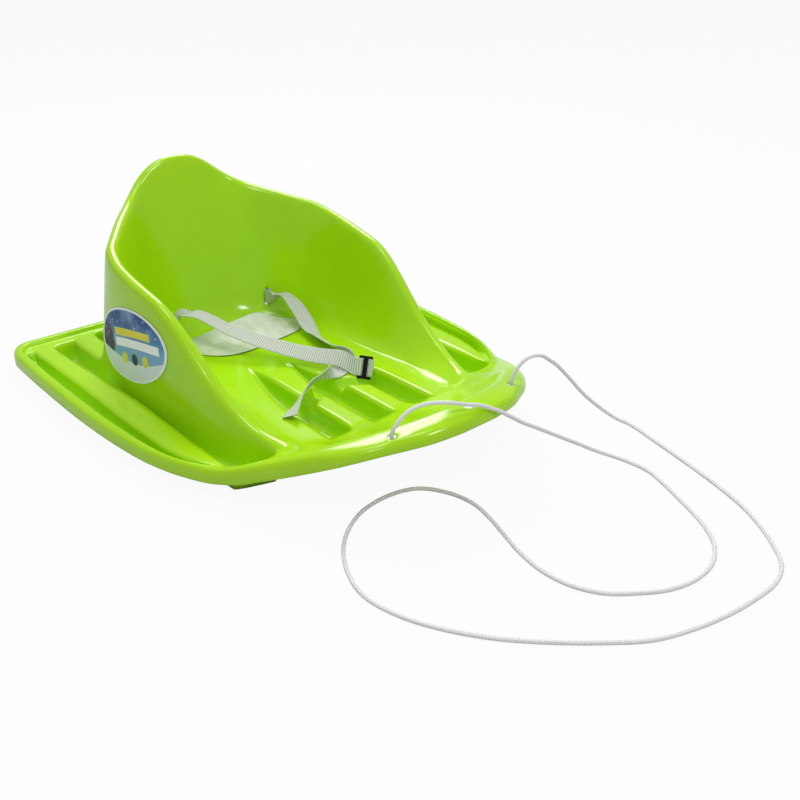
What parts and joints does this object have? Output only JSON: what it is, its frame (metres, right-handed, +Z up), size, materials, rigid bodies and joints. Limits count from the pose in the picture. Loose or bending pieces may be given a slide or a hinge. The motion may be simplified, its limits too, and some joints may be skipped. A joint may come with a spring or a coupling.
{
  "type": "baby pull sled",
  "caption": "Moulded lime-green baby pull sled with a high bucket seat, white lap belt, black strap buckle and a braided tow rope.",
  "frame": {"origin": "centre of the sled shell's box at the ground, between the runners", "axes": "+Z up, -Y towards the bow and the tow rope, +X towards the seated child's left"},
  "size_m": [0.5182, 0.9071, 0.252],
  "materials": {
    "shell": "gloss",
    "label": "satin",
    "webbing": "ribbed webbing",
    "buckle": "gloss",
    "band": "coated, semi gloss",
    "rope": "braided"
  },
  "bodies": {
    "sled": {"sled_shell": "shell", "side_label": "label", "belt_web_rear": "webbing", "seat_band": "band", "tow_rope": "rope", "rope_knot_left": "rope", "rope_knot_right": "rope"},
    "belt": {"belt_strap_left": "webbing", "belt_strap_right": "webbing", "belt_buckle": "buckle"},
    "belt_end": {"belt_tail": "webbing"}
  },
  "joints": [
    {"name": "belt_lift", "type": "hinge", "parent": "sled", "child": "belt", "pos_m": [0, 0.16485, 0.067], "axis": [-0.9979, 0, 0.0643], "range_deg": [0, 75]},
    {"name": "tail_swing", "type": "hinge", "parent": "belt", "child": "belt_end", "pos_m": [0.0475, -0.049, 0.0362], "axis": [0, 0, -1], "range_deg": [0, 6]}
  ]
}
